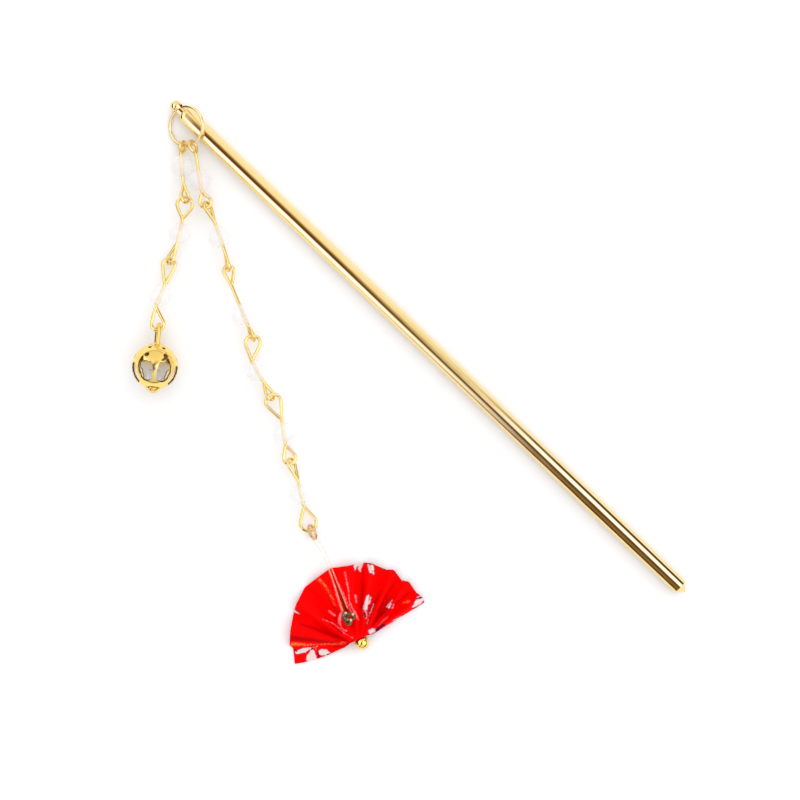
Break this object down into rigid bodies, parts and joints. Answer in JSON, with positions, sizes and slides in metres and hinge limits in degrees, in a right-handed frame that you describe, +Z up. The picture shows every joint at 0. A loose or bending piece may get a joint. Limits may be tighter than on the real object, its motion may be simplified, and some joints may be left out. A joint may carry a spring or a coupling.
{
  "type": "kanzashi hair stick",
  "caption": "Straight metal hair stick with a ring through its head and beaded link drops, ending in a pierced ball and a folded paper fan.",
  "frame": {"origin": "on the surface that the piece lies on, under the middle of its box", "axes": "+X along the stick from its head to its tip, +Y across the stick on the side away from the drops, +Z up"},
  "size_m": [0.125, 0.059, 0.0081],
  "materials": {
    "stick_metal": "polished, gold plated",
    "ring_metal": "polished, pale gold plated",
    "link_metal": "polished, gold plated",
    "ball_metal": "polished, gold plated",
    "copper_ring": "polished copper colour",
    "clear_bead": "clear, cut and polished",
    "thread": "clear nylon",
    "knot": "olive-gold cord under clear glue",
    "paper": "folded paper with a light varnish"
  },
  "bodies": {
    "root": {"hair_stick": "stick_metal", "ring_large": "ring_metal", "short_link_1": "link_metal", "short_link_2": "link_metal", "short_link_3": "link_metal", "short_bead_1": "clear_bead", "short_bead_2": "clear_bead", "short_bead_3": "clear_bead", "filigree_ball": "ball_metal", "long_link_1": "link_metal", "long_link_2": "link_metal", "long_link_3": "link_metal", "long_link_4": "link_metal", "long_link_5": "link_metal", "long_link_6": "link_metal", "long_bead_1": "clear_bead", "long_bead_2": "clear_bead", "long_bead_3": "clear_bead", "long_bead_4": "clear_bead", "long_bead_5": "clear_bead", "long_bead_6": "clear_bead", "ring_small": "copper_ring", "thread": "thread", "knot": "knot", "fan": "paper", "fan_bead": "ball_metal"}
  },
  "joints": []
}
